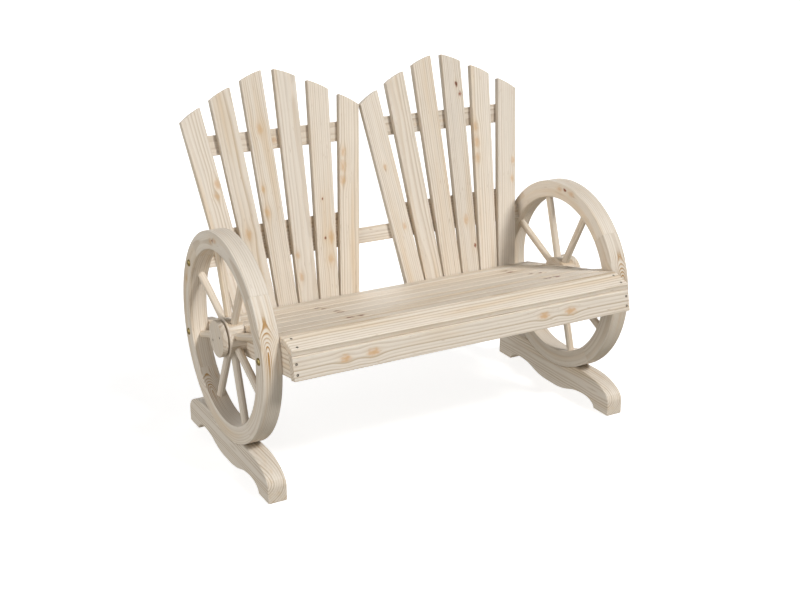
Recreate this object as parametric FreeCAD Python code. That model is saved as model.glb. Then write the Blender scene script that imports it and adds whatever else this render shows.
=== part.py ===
import FreeCAD, Part
import math
import os

# Wagon wheel bench. Millimetres and degrees. X runs along the seat, the front is -Y, Z is up.
# The origin is on the floor, under the middle of the bench's box.

# Overall sizes
overall_width = 1080.0      # over the wheels and the feet
overall_depth = 660.0       # lower edge of the apron to the tops of the slats
overall_height = 950.0      # floor to the highest slats
seat_depth = 480.0          # front edge to the slats, measured along the boards
seat_height = 430.0         # floor to the crest of the seat

# Fits
wood_gap = 0.3              # between pieces of wood that are pushed together
hole_gap = 0.3              # round a screw or a bolt
screw_recess = 1.0          # screw heads below the wood

# Seat
board_count = 8
board_gap = 3.0
board_thickness = 18.0
seat_slope_angle = 12.0     # boards fall towards the back
nose_slope_angle = 17.0     # the first board falls towards the front
nose_overhang = 4.0         # first board beyond the apron
rail_thickness = 28.0
rail_height = 79.0          # side rail at its front end
rail_taper_angle = 3.0
rail_end_margin = 22.0      # side rail beyond its rear bolt
apron_thickness = 22.0
apron_drop = 5.0            # apron below the side rails
rear_rail_thickness = 24.0
rear_rail_height = 50.0
tenon_length = 10.0
tenon_thickness = 14.0
tenon_height = 24.0

# Back
fan_slats = 6
slat_thickness = 18.0
slat_spread_angle = 3.15    # angle from one slat to the next
slat_tail = 62.0            # slats below the seat surface
slat_foot_gap = 1.5         # between the lower ends of two slats
slat_flare = 4.0            # slats wider at their tops
slat_crown = 2.0            # rounded top of a slat above its corners
fan_side_gap = 26.0         # outer slat's lower end to the side rail
fan_middle_gap = 6.0        # between the two fans at their tops
shoulder_drop = 116.0       # outer corner of a fan below its middle
crown_radius = 1150.0       # curve along the tops of half a fan
fan_rail_height = 53.0
fan_rail_thickness = 20.0
fan_rail_inset = 14.0       # rail end inside the edge of the outer slat
upper_rail_drop = 40.0      # upper rail below the outer slat's corner
long_rail_height = 42.0
long_rail_thickness = 28.0

# Wheels
wheel_place_ratio = 0.2854  # axle in front of the foot of the slats, as a share of the seat's depth
front_bolt_setback = 64.0   # front bolt behind the apron, along the side rail
rim_width = 47.0
rim_thickness = 49.7
spoke_count = 8
spoke_turn_angle = 17.5     # first spoke above the horizontal, on the front side
spoke_diameter = 20.0
spoke_sides = 20
turned_sides = 48           # hub and cap, drawn with flat sides as the spokes are
spoke_tenon = 12.0          # side of the square tenon on each end
spoke_depth = 14.0          # tenon inside the rim
felloe_count = 4
tongue_length = 24.0
tongue_width = 30.0
tongue_height = 10.0
hub_radius = 53.0
hub_flange = 4.0            # plain outer end of the hub
hub_flat_depth = 3.0        # flat under each spoke, cut into the hub
spigot_radius = 36.0
cap_radius = 48.0
cap_thickness = 15.0
cap_proud = 12.0            # cap beyond the rim
cap_gap = 4.0               # between cap and hub, round the spigot
cap_screw_spacing = 53.0
cap_screw_turn_angle = 24.0

# Feet
foot_length = 550.0
foot_waist = 66.0           # under the wheel
foot_end_height = 39.0
foot_horn_height = 92.0     # top of the saddle's two ends
foot_horn_flat = 42.0       # level stretch beyond each end of the saddle
foot_pad = 64.0             # length of each end pad
foot_middle_pad = 40.0
foot_arch_height = 24.0
foot_arch_setback = 115.0   # top of each arch from the foot's end

# Fasteners
bolt_diameter = 8.0
bolt_head_radius = 10.0
bolt_head_height = 5.0
bolt_head_sides = 12
bolt_head_steps = 3
bolt_tail = 3.0             # bolt beyond its nut
nut_flats = 13.0
nut_height = 7.0
square_nut_side = 16.0
square_nut_inset = 22.0     # square nut from the end of the long rail
screw_diameter = 5.0
pin_sides = 6               # shanks and their holes, drawn with flat sides to keep the model light
seat_screw_bite = 20.0      # seat screw in the side rail
seat_screw_spacing = 34.0
seat_screw_inset = 18.0     # from the board's end
frame_screw_bite = 28.0
frame_screw_inset = 9.0
frame_screw_spacing = 26.0
slat_screw_bite = 11.0
cap_screw_diameter = 7.0
cap_screw_bite = 8.0
foot_screw_diameter = 8.0
foot_screw_spacing = 90.0
foot_screw_recess = 12.0    # lower end above the floor
foot_screw_bite = 26.0


def sine(angle):
    return math.sin(math.radians(angle))


def cosine(angle):
    return math.cos(math.radians(angle))


def tangent(angle):
    return math.tan(math.radians(angle))


def vector(x, y, z):
    return FreeCAD.Vector(x, y, z)


# Seat layout: "along" runs down the sloping boards from the crest, "up" is square to them
seat_half = overall_width / 2 - rim_thickness - wood_gap
board_pitch = seat_depth / board_count
board_width = board_pitch - board_gap
ridge = seat_slope_angle + nose_slope_angle
ridge_along = board_thickness * tangent(ridge / 2)
nose_reach = board_width + board_gap / 2
apron_front = nose_overhang - nose_reach * cosine(ridge)
apron_bottom = -(board_thickness + rail_height + apron_drop)
rail_front = apron_front + apron_thickness
apron_reach = -apron_front * cosine(seat_slope_angle) - apron_bottom * sine(seat_slope_angle)
crest_y = apron_reach - overall_depth / 2
seat_rear = seat_depth - nose_reach
rail_inner = seat_half - rail_thickness


def seat_point(along, up, x=0.0):
    y = crest_y + along * cosine(seat_slope_angle) + up * sine(seat_slope_angle)
    z = seat_height - along * sine(seat_slope_angle) + up * cosine(seat_slope_angle)
    return vector(x, y, z)


def nose_point(ahead, up, x=0.0):
    y = crest_y - ahead * cosine(nose_slope_angle) - up * sine(nose_slope_angle)
    z = seat_height - ahead * sine(nose_slope_angle) + up * cosine(nose_slope_angle)
    return vector(x, y, z)


def nose_underside(along):
    return -board_thickness - (ridge_along - along) * tangent(ridge)


def rail_depth(along):
    return rail_height - (along - rail_front) * tangent(rail_taper_angle)


def rail_middle(along):
    return seat_point(along, -board_thickness - rail_depth(along) / 2)


# Wheel layout: the rim passes through the front bolt, and stands in its foot
axle_y = seat_point(seat_rear, 0).y - wheel_place_ratio * seat_depth
front_bolt_along = rail_front + front_bolt_setback
front_bolt_ahead = axle_y - rail_middle(front_bolt_along).y
front_bolt_rise = rail_middle(front_bolt_along).z - foot_waist - wood_gap
bolt_reach = front_bolt_ahead ** 2 + front_bolt_rise ** 2 - (rim_width / 2) ** 2
wheel_radius = bolt_reach / (2 * front_bolt_rise - rim_width)
axle_z = foot_waist + wood_gap + wheel_radius
rim_inner_radius = wheel_radius - rim_width
rim_middle_radius = wheel_radius - rim_width / 2
rim_inside = seat_half + wood_gap
rim_outside = rim_inside + rim_thickness
cap_outside = rim_outside + cap_proud
cap_inside = cap_outside - cap_thickness
hub_inside = rim_inside
hub_outside = cap_inside - cap_gap
spoke_x = (hub_inside + hub_outside - hub_flange) / 2
flat_radius = hub_radius - hub_flat_depth
spoke_radius = spoke_diameter / 2
spoke_inner = (spoke_tenon / 2 + 2 * wood_gap) / tangent(180 / spoke_count)


# Angles round the wheel run from the front upwards
def radial(angle):
    return vector(0, -cosine(angle), sine(angle))


def polar(angle, radius, x):
    return vector(x, axle_y, axle_z) + radial(angle) * radius


def crossing(start, step):
    """How far along a line, in steps, it leaves the circle through the middle of the rim."""
    offset = start - vector(start.x, axle_y, axle_z)
    a = step.dot(step)
    b = offset.dot(step)
    c = offset.dot(offset) - rim_middle_radius ** 2
    return (math.sqrt(b * b - a * c) - b) / a


rail_step = rail_middle(rail_front + 1) - rail_middle(rail_front)
rear_bolt_along = rail_front + crossing(rail_middle(rail_front), rail_step)
rail_rear = rear_bolt_along + rail_end_margin

# Back layout: "rise" runs up the front of the slats from the seat, "behind" is square to them
back_foot = seat_point(seat_rear, 0)
back_lean = seat_slope_angle
for _ in range(40):
    run = overall_depth / 2 - back_foot.y - slat_thickness * cosine(back_lean)
    back_lean = math.degrees(math.atan2(run, overall_height - back_foot.z))
rise_step = vector(0, sine(back_lean), cosine(back_lean))
behind_step = vector(0, cosine(back_lean), -sine(back_lean))
slat_top = (overall_height - back_foot.z) / cosine(back_lean)
shoulder_rise = slat_top - shoulder_drop


def back_point(x, rise, behind):
    return back_foot + vector(x, 0, 0) + rise_step * rise + behind_step * behind


long_rail_behind = slat_thickness + long_rail_thickness / 2
long_rail_rise = crossing(back_point(0, 0, long_rail_behind), rise_step)
lower_rail_base = long_rail_rise + long_rail_height / 2
upper_rail_base = shoulder_rise - upper_rail_drop - fan_rail_height

def widening(rise):
    return slat_flare * (rise + slat_tail) / (slat_top + slat_tail)


# Fan layout: the slats fill the room between the side rails and the middle of the back
outer_turn = slat_spread_angle * (fan_slats - 1) / 2
fan_flare = (shoulder_rise + slat_tail) * tangent(outer_turn) + widening(shoulder_rise) / 2
fan_room = rail_inner - fan_side_gap - fan_middle_gap / 2
fan_foot_half = (fan_room - fan_flare) / 2
slat_edge = (fan_foot_half * 2 - slat_foot_gap * (fan_slats - 1)) / fan_slats
slat_width = slat_edge * cosine(outer_turn)
slat_pitch = slat_edge + slat_foot_gap
fan_middle = rail_inner - fan_side_gap - fan_foot_half


def slat_turn(index):
    return slat_spread_angle * (index - (fan_slats - 1) / 2)


def slat_x(index, rise):
    foot = fan_middle + slat_pitch * (index - (fan_slats - 1) / 2)
    return foot + (rise + slat_tail) * tangent(slat_turn(index))


def slat_side(index, rise, side):
    """Where a slat's left (-1) or right (1) edge is at a rise."""
    half = (slat_width + widening(rise)) / 2 / cosine(slat_turn(index))
    return slat_x(index, rise) + side * half


# Shared solids
def prism(outline, start, end):
    """A flat outline in the YZ plane, drawn out along X."""
    points = [vector(start, p.y, p.z) for p in outline]
    face = Part.Face(Part.makePolygon(points + points[:1]))
    return face.extrude(vector(end - start, 0, 0))


def rod(start, direction, radius, length):
    return Part.makeCylinder(radius, length, start, direction)


def ring(middle, direction, radius, sides):
    """A regular outline whose flat sides touch a circle."""
    across = vector(0, 0, 1) if abs(direction.x) > abs(direction.z) else vector(1, 0, 0)
    other = direction.cross(across)
    corner = radius / cosine(180 / sides)
    turns = [index * 360 / sides for index in range(sides)]
    points = [middle + (across * cosine(turn) + other * sine(turn)) * corner for turn in turns]
    return Part.makePolygon(points + points[:1])


def pin(start, direction, radius, length, sides=pin_sides):
    return Part.Face(ring(start, direction, radius, sides)).extrude(direction * length)


def mirrored(shape):
    return shape.mirror(vector(0, 0, 0), vector(1, 0, 0))


def both_sides(shapes):
    return shapes + [mirrored(shape) for shape in shapes]


def save(name, shapes):
    solids = [solid for shape in shapes for solid in shape.Solids]
    result = solids[0] if len(solids) == 1 else Part.makeCompound(solids)
    result.exportStep("parts/" + name + ".step")


def save_pair(name, shape):
    save("right_" + name, [shape])
    save("left_" + name, [mirrored(shape)])


# Screws are plain pins; each gives its own hole
class Screw:
    def __init__(self, start, direction, diameter, length, recess=screw_recess):
        self.start = start
        self.direction = direction.normalize()
        self.radius = diameter / 2
        self.length = length
        self.recess = recess

    def solid(self):
        start = self.start + self.direction * self.recess
        return pin(start, self.direction, self.radius, self.length - self.recess)

    def hole(self):
        return pin(self.start, self.direction, self.radius + hole_gap, self.length + hole_gap)


def seat_screws():
    screws = []
    x = seat_half - seat_screw_inset
    length = board_thickness + seat_screw_bite
    for index in range(board_count):
        for side in (-0.5, 0.5):
            place = board_gap / 2 + board_width / 2 + side * seat_screw_spacing
            if index == 0:
                start = nose_point(place, 0, x)
                direction = nose_point(place, -1, x) - start
            else:
                place += (index - 1) * board_pitch
                start = seat_point(place, 0, x)
                direction = seat_point(place, -1, x) - start
            screws.append(Screw(start, direction, screw_diameter, length))
    return screws


def apron_screws():
    x = seat_half - frame_screw_inset
    middle = (nose_underside(apron_front) + apron_bottom) / 2
    length = apron_thickness + frame_screw_bite
    inward = seat_point(1, 0) - seat_point(0, 0)
    ups = (middle + side * frame_screw_spacing for side in (-0.5, 0.5))
    return [Screw(seat_point(apron_front, up, x), inward, screw_diameter, length) for up in ups]


def rear_rail_screws():
    length = rail_thickness + frame_screw_bite
    behind = slat_thickness + rear_rail_thickness / 2
    middle = rear_rail_height / 2 - slat_tail
    rises = (middle + side * frame_screw_spacing for side in (-0.5, 0.5))
    starts = (back_point(seat_half, rise, behind) for rise in rises)
    return [Screw(start, vector(-1, 0, 0), screw_diameter, length) for start in starts]


def slat_screws(rail_base):
    rise = rail_base + fan_rail_height / 2
    length = fan_rail_thickness + slat_screw_bite
    behind = slat_thickness + fan_rail_thickness
    starts = (back_point(slat_x(index, rise), rise, behind) for index in range(fan_slats))
    return [Screw(start, behind_step * -1, screw_diameter, length) for start in starts]


def cap_screws():
    length = cap_thickness + cap_gap + cap_screw_bite
    turns = (cap_screw_turn_angle, cap_screw_turn_angle + 180)
    starts = (polar(turn, cap_screw_spacing / 2, cap_outside) for turn in turns)
    return [Screw(start, vector(-1, 0, 0), cap_screw_diameter, length) for start in starts]


def foot_screws():
    length = foot_waist + foot_screw_bite
    x = rim_inside + rim_thickness / 2
    starts = (vector(x, axle_y + side * foot_screw_spacing, 0) for side in (-0.5, 0.5))
    up = vector(0, 0, 1)
    return [Screw(start, up, foot_screw_diameter, length, foot_screw_recess) for start in starts]


# Bolts through the rim: two into the side rail, one into the long rail
bolt_radius = bolt_diameter / 2
bolt_length = rim_outside - rail_inner + nut_height + bolt_tail
rail_bolt_places = [rail_middle(front_bolt_along), rail_middle(rear_bolt_along)]
back_bolt_place = back_point(0, long_rail_rise, long_rail_behind)


def at_x(place, x):
    return vector(x, place.y, place.z)


def rim_bolt(place):
    # The domed head rises in steps of equal turn, and ends in a small flat
    outward = vector(1, 0, 0)
    dome_radius = (bolt_head_radius ** 2 + bolt_head_height ** 2) / (2 * bolt_head_height)
    dome_turn = math.degrees(math.asin(bolt_head_radius / dome_radius))
    brim = dome_radius * cosine(dome_turn)
    rings = []
    for step in range(bolt_head_steps):
        turn = dome_turn * (1 - step / bolt_head_steps)
        middle = at_x(place, rim_outside + dome_radius * cosine(turn) - brim)
        rings.append(ring(middle, outward, dome_radius * sine(turn), bolt_head_sides))
    head = Part.makeLoft(rings, True, True)
    shank = pin(at_x(place, rim_outside), outward * -1, bolt_radius, bolt_length)
    return head.fuse(shank).removeSplitter()


def bolt_hole(place):
    return pin(at_x(place, rim_outside), vector(-1, 0, 0), bolt_radius + hole_gap, bolt_length + hole_gap)


def rail_nut(place):
    corner = nut_flats / 2 / cosine(30)
    turns = range(0, 360, 60)
    outline = [at_x(place, 0) + vector(0, cosine(turn), sine(turn)) * corner for turn in turns]
    return prism(outline, rail_inner - nut_height, rail_inner).cut(bolt_hole(place))


def back_box(x, low, high, front, behind, thickness):
    """A box in the frame of the back: rises low to high, from front to behind, and thick along X."""
    outline = [
        back_point(0, low, front),
        back_point(0, high, front),
        back_point(0, high, behind),
        back_point(0, low, behind),
    ]
    return prism(outline, x, x + thickness)


def square_nut(play):
    # It drops into a slot that is open at the back of the rail
    half = square_nut_side / 2 + play
    x = seat_half - square_nut_inset - nut_height - play
    behind = slat_thickness + long_rail_thickness if play else long_rail_behind + half
    return back_box(x, long_rail_rise - half, long_rail_rise + half, long_rail_behind - half, behind,
                    nut_height + 2 * play)


# Wheel
def spoke_angles():
    return [spoke_turn_angle + index * 360 / spoke_count for index in range(spoke_count)]


def on_wheel(shape, angle):
    """Turns a shape that was drawn in front of the origin to its angle on the wheel."""
    shape.rotate(vector(0, 0, 0), vector(-1, 0, 0), angle)
    shape.translate(vector(0, axle_y, axle_z))
    return shape


def spoke_peg(angle, inner, outer, play):
    """A square bar along a spoke, for its tenons and their mortises."""
    side = spoke_tenon + 2 * play
    peg = Part.makeBox(side, outer - inner, side, vector(spoke_x - side / 2, -outer, -side / 2))
    return on_wheel(peg, angle)


def spoke(angle):
    # The shoulders stop short by the wood gap, at the hub's flat and at the middle of the rim's hollow side
    shoulder = math.sqrt(rim_inner_radius ** 2 - spoke_radius ** 2) - wood_gap
    start = flat_radius + wood_gap
    body = pin(polar(angle, start, spoke_x), radial(angle), spoke_radius, shoulder - start, spoke_sides)
    peg = spoke_peg(angle, spoke_inner + wood_gap, rim_inner_radius + spoke_depth - wood_gap, 0)
    return body.fuse(peg).removeSplitter()


def felloe_joints():
    first = spoke_turn_angle + 180 / spoke_count
    return [first + index * 360 / felloe_count for index in range(felloe_count)]


def tongue(angle, play):
    # The tongue lies outside the bolts, so that a bolt can pass anywhere along the rim
    x = rim_inside + rim_thickness / 2
    radius = rim_middle_radius + bolt_radius + hole_gap + 2 * wood_gap + tongue_height / 2
    box = Part.makeBox(
        tongue_width + 2 * play,
        tongue_height + 2 * play,
        tongue_length + 2 * play,
        vector(-tongue_width / 2 - play, -tongue_height / 2 - play, -tongue_length / 2 - play),
    )
    box.translate(vector(x, -radius, 0))
    return on_wheel(box, angle)


def rim_cuts():
    reach = rim_inner_radius + spoke_depth
    cuts = [spoke_peg(angle, flat_radius, reach, wood_gap) for angle in spoke_angles()]
    cuts += [tongue(angle, wood_gap) for angle in felloe_joints()]
    cuts += [bolt_hole(place) for place in rail_bolt_places + [back_bolt_place]]
    cuts += [screw.hole() for screw in foot_screws()]
    return cuts


def felloe(start_angle, cuts):
    corners = [
        polar(start_angle, rim_inner_radius, rim_inside),
        polar(start_angle, wheel_radius, rim_inside),
        polar(start_angle, wheel_radius, rim_outside),
        polar(start_angle, rim_inner_radius, rim_outside),
    ]
    section = Part.Face(Part.makePolygon(corners + corners[:1]))
    arc = section.revolve(vector(0, axle_y, axle_z), vector(-1, 0, 0), 360 / felloe_count)
    return arc.cut(cuts)


def hub_flat(angle):
    """What is cut off the hub under one spoke, from its inner end to the flange."""
    length = hub_outside - hub_flange - hub_inside
    corner = vector(hub_inside, -flat_radius - hub_radius, -hub_radius)
    block = Part.makeBox(length, hub_radius, hub_radius * 2, corner)
    return on_wheel(block, angle)


def hub():
    axle = vector(hub_inside, axle_y, axle_z)
    body = pin(axle, vector(1, 0, 0), hub_radius, hub_outside - hub_inside, turned_sides)
    spigot = pin(axle, vector(1, 0, 0), spigot_radius, cap_inside - hub_inside, turned_sides)
    flats = [hub_flat(angle) for angle in spoke_angles()]
    sockets = [spoke_peg(angle, spoke_inner, hub_radius, wood_gap) for angle in spoke_angles()]
    turned = body.fuse(spigot).cut(flats)
    return turned.cut(sockets + [screw.hole() for screw in cap_screws()]).removeSplitter()


def hub_cap():
    disc = pin(vector(cap_inside, axle_y, axle_z), vector(1, 0, 0), cap_radius, cap_thickness, turned_sides)
    return disc.cut([screw.hole() for screw in cap_screws()])


# Feet
def foot_point(out, up):
    return vector(rim_inside, axle_y + out, up)


def line(start, end):
    return Part.LineSegment(start, end).toShape()


def quarter(level_end, upright_end):
    """A quarter of an ellipse, level at one end and upright at the other."""
    middle = vector(level_end.x, level_end.y, upright_end.z)
    ellipse = Part.Ellipse(upright_end, level_end, middle)
    return Part.ArcOfEllipse(ellipse, 0, math.pi / 2).toShape()


def level_bend(start, end):
    """Half of an S-bend: an arc from start, where it is level, to end."""
    reach = end.y - start.y
    drop = end.z - start.z
    radius = (reach ** 2 + drop ** 2) / (2 * drop)
    half_turn = math.asin(reach / radius) / 2
    middle_y = start.y + radius * math.sin(half_turn)
    middle_z = start.z + radius * (1 - math.cos(half_turn))
    middle = vector(start.x, middle_y, middle_z)
    return Part.Arc(start, middle, end).toShape()


def foot_half_outline(horn, way):
    """One end of a foot, from the saddle's tip round to the middle pad; way is -1 in front, 1 behind."""
    half = foot_length / 2
    tip = foot_point(way * horn, foot_horn_height)
    crown = foot_point(way * (horn + foot_horn_flat), foot_horn_height)
    end_top = foot_point(way * half, foot_end_height)
    end_foot = foot_point(way * half, 0)
    pad = foot_point(way * (half - foot_pad), 0)
    peak = foot_point(way * (half - foot_arch_setback), foot_arch_height)
    middle = foot_point(way * foot_middle_pad / 2, 0)
    bend = (peak + middle) * 0.5
    return [
        line(tip, crown),
        quarter(crown, end_top),
        line(end_top, end_foot),
        line(end_foot, pad),
        quarter(peak, pad),
        level_bend(peak, bend),
        level_bend(middle, bend),
    ]


def foot():
    saddle = wheel_radius + wood_gap
    horn = math.sqrt(saddle ** 2 - (axle_z - foot_horn_height) ** 2)
    middle = foot_middle_pad / 2
    bottom = line(foot_point(-middle, 0), foot_point(middle, 0))
    tips = (foot_point(-horn, foot_horn_height), foot_point(horn, foot_horn_height))
    rest = Part.Arc(tips[0], polar(270, saddle, rim_inside), tips[1]).toShape()
    edges = foot_half_outline(horn, -1) + foot_half_outline(horn, 1) + [bottom, rest]
    outline = Part.Wire(Part.__sortEdges__(edges))
    body = Part.Face(outline).extrude(vector(rim_thickness, 0, 0))
    return body.cut([screw.hole() for screw in foot_screws()])


# Seat
def seat_board(index, holes):
    mitre = board_gap / 2 + ridge_along
    if index == 0:
        outline = [
            nose_point(board_gap / 2, 0),
            nose_point(nose_reach, 0),
            nose_point(nose_reach, -board_thickness),
            nose_point(mitre, -board_thickness),
        ]
    else:
        front = board_gap / 2 + (index - 1) * board_pitch
        under = mitre if index == 1 else front
        outline = [
            seat_point(front, 0),
            seat_point(front + board_width, 0),
            seat_point(front + board_width, -board_thickness),
            seat_point(under, -board_thickness),
        ]
    return prism(outline, -seat_half, seat_half).cut(holes)


def rail_outline(rear_edge):
    front_foot = seat_point(rail_front, -board_thickness - rail_height)
    return [
        front_foot,
        seat_point(rail_front, nose_underside(rail_front)),
        seat_point(ridge_along, -board_thickness),
    ] + rear_edge


def side_rail(cuts):
    rear_edge = [
        seat_point(rail_rear, -board_thickness),
        seat_point(rail_rear, -board_thickness - rail_depth(rail_rear)),
    ]
    return prism(rail_outline(rear_edge), rail_inner, seat_half).cut(cuts)


def front_tenon(play):
    middle = (nose_underside(rail_front) - board_thickness - rail_height) / 2
    low = middle - tenon_height / 2 - play
    high = middle + tenon_height / 2 + play
    front = rail_front - tenon_length - play
    outline = [
        seat_point(front, low),
        seat_point(front, high),
        seat_point(rail_front, high),
        seat_point(rail_front, low),
    ]
    half = tenon_thickness / 2 + play
    return prism(outline, -half, half)


def rear_tenon(play):
    middle = rear_rail_height / 2 - slat_tail
    half = tenon_thickness / 2 + play
    reach = tenon_height / 2 + play
    behind = slat_thickness + tenon_length + play
    return back_box(-half, middle - reach, middle + reach, slat_thickness, behind, 2 * half)


def seat_bearer():
    # The rear end follows the front of the rear rail, which leans with the slats
    turn = back_lean - seat_slope_angle

    def rear_along(up):
        rise = (up + slat_thickness * sine(turn)) / cosine(turn)
        return seat_rear + rise * sine(turn) + slat_thickness * cosine(turn)

    top_end = rear_along(-board_thickness)
    low = -board_thickness - rail_depth(top_end)
    rear_edge = [seat_point(top_end, -board_thickness), seat_point(rear_along(low), low)]
    body = prism(rail_outline(rear_edge), -rail_thickness / 2, rail_thickness / 2)
    return body.fuse([front_tenon(0), rear_tenon(0)]).removeSplitter()


def front_apron(cuts):
    outline = [
        seat_point(apron_front, apron_bottom),
        seat_point(apron_front, nose_underside(apron_front)),
        seat_point(rail_front, nose_underside(rail_front)),
        seat_point(rail_front, apron_bottom),
    ]
    return prism(outline, -seat_half, seat_half).cut(cuts + [front_tenon(wood_gap)])


# Back
def back_bar(left, right, base, height, thickness):
    behind = slat_thickness + thickness
    return back_box(left, base, base + height, slat_thickness, behind, right - left)


def fan_rail(base, screws):
    outer = fan_slats - 1
    edge = slat_side(outer, base + fan_rail_height / 2, 1) - fan_rail_inset
    half = edge - fan_middle
    bar = back_bar(fan_middle - half, fan_middle + half, base, fan_rail_height, fan_rail_thickness)
    return bar.cut([screw.hole() for screw in screws])


def crown_rise(index, side):
    """How high a slat's edge meets the arch over its half of the fan."""
    way = 1 if index >= fan_slats / 2 else -1
    inner = slat_side(fan_slats // 2, slat_top, -1) - fan_middle
    outer = slat_side(fan_slats - 1, shoulder_rise, 1) - fan_middle
    chord = math.hypot(outer - inner, shoulder_drop)
    reach = math.sqrt(crown_radius ** 2 - chord ** 2 / 4)
    middle_x = fan_middle + way * ((inner + outer) / 2 - reach * shoulder_drop / chord)
    middle_rise = (slat_top + shoulder_rise) / 2 - reach * (outer - inner) / chord
    # The edge is a straight line, so its crossing with the arch is a quadratic's upper root
    foot = slat_side(index, 0, side) - middle_x
    lean = slat_side(index, 1, side) - slat_side(index, 0, side)
    a = lean ** 2 + 1
    b = lean * foot - middle_rise
    c = foot ** 2 + middle_rise ** 2 - crown_radius ** 2
    return (math.sqrt(b * b - a * c) - b) / a


def slat(index, holes):
    left_rise = crown_rise(index, -1)
    right_rise = crown_rise(index, 1)
    left_foot = back_point(slat_side(index, -slat_tail, -1), -slat_tail, 0)
    right_foot = back_point(slat_side(index, -slat_tail, 1), -slat_tail, 0)
    left = back_point(slat_side(index, left_rise, -1), left_rise, 0)
    right = back_point(slat_side(index, right_rise, 1), right_rise, 0)
    upward = behind_step.cross(right - left).normalize() * -slat_crown
    top = Part.Arc(left, (left + right) * 0.5 + upward, right).toShape()
    edges = [line(right_foot, left_foot), line(left_foot, left), top, line(right, right_foot)]
    return Part.Face(Part.Wire(edges)).extrude(behind_step * slat_thickness).cut(holes)


def make_wheels():
    cuts = rim_cuts()
    names = ["rear", "bottom", "front", "top"]
    for name, angle in zip(names, felloe_joints()[1:] + felloe_joints()[:1]):
        save_pair("rim_" + name, felloe(angle, cuts))
    spokes = [spoke(angle) for angle in spoke_angles()]
    save("right_spokes", spokes)
    save("left_spokes", [mirrored(shape) for shape in spokes])
    save_pair("hub", hub())
    save_pair("hub_cap", hub_cap())
    save_pair("foot", foot())


def make_seat():
    seat_holes = both_sides([screw.hole() for screw in seat_screws()])
    apron_holes = [screw.hole() for screw in apron_screws()]
    rear_holes = [screw.hole() for screw in rear_rail_screws()]
    for index in range(board_count):
        save("seat_board_" + str(index + 1), [seat_board(index, seat_holes)])
    rail_cuts = [screw.hole() for screw in seat_screws()] + apron_holes + rear_holes
    rail_cuts += [bolt_hole(place) for place in rail_bolt_places]
    save_pair("side_rail", side_rail(rail_cuts))
    # The front board's forward screws also bite into the apron
    save("front_apron", [front_apron(both_sides(apron_holes) + seat_holes)])
    rear_rail = back_bar(-rail_inner, rail_inner, -slat_tail, rear_rail_height, rear_rail_thickness)
    save("rear_seat_rail", [rear_rail.cut(both_sides(rear_holes) + [rear_tenon(wood_gap)])])
    save("seat_bearer", [seat_bearer()])


def make_back():
    rails = {"lower": lower_rail_base, "upper": upper_rail_base}
    screws = [screw for base in rails.values() for screw in slat_screws(base)]
    holes = [screw.hole() for screw in screws]
    for index in range(fan_slats):
        save_pair("back_slat_" + str(index + 1), slat(index, holes))
    for name, base in rails.items():
        save_pair("fan_rail_" + name, fan_rail(base, slat_screws(base)))
    base = long_rail_rise - long_rail_height / 2
    bar = back_bar(-seat_half, seat_half, base, long_rail_height, long_rail_thickness)
    save("long_back_rail", [bar.cut(both_sides([bolt_hole(back_bolt_place), square_nut(hole_gap)]))])
    save("slat_screws", both_sides([screw.solid() for screw in screws]))


def make_fasteners():
    bolts = [rim_bolt(place) for place in rail_bolt_places + [back_bolt_place]]
    save("rim_bolts", both_sides(bolts))
    save("rail_nuts", both_sides([rail_nut(place) for place in rail_bolt_places]))
    save("long_rail_nuts", both_sides([square_nut(0).cut(bolt_hole(back_bolt_place))]))
    save("seat_screws", both_sides([screw.solid() for screw in seat_screws()]))
    frame = apron_screws() + rear_rail_screws()
    save("frame_screws", both_sides([screw.solid() for screw in frame]))
    save("hub_cap_screws", both_sides([screw.solid() for screw in cap_screws()]))
    save("foot_screws", both_sides([screw.solid() for screw in foot_screws()]))
    save("rim_tongues", both_sides([tongue(angle, 0) for angle in felloe_joints()]))


os.makedirs("parts", exist_ok=True)
make_wheels()
make_seat()
make_back()
make_fasteners()
print("wheel radius", round(wheel_radius, 2), "board width", round(board_width, 2))
print("slat width", round(slat_width, 2), "lean", round(back_lean, 2))
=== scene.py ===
import bpy
import bmesh
import math
import random
from mathutils import Matrix, Vector


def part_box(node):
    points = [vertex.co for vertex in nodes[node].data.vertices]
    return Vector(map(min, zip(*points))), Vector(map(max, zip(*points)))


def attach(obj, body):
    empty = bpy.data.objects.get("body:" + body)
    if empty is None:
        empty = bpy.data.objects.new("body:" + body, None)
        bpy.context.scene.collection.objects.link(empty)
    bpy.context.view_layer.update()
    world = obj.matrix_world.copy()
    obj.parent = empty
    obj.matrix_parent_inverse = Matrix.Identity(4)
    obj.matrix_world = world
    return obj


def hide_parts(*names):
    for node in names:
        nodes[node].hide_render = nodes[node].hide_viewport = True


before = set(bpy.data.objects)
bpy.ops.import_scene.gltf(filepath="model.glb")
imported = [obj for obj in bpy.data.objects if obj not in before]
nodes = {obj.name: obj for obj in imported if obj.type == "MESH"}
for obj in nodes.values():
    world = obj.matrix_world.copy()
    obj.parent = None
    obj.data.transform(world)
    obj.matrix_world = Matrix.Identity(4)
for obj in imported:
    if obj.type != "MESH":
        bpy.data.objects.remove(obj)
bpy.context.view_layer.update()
print("frame loaded,", len(nodes), "nodes")


def toLinear(hexColour):
    parts = [int(hexColour[i:i + 2], 16) / 255 for i in (1, 3, 5)]
    return (*[c / 12.92 if c <= 0.04045 else ((c + 0.055) / 1.055) ** 2.4 for c in parts], 1.0)


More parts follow.
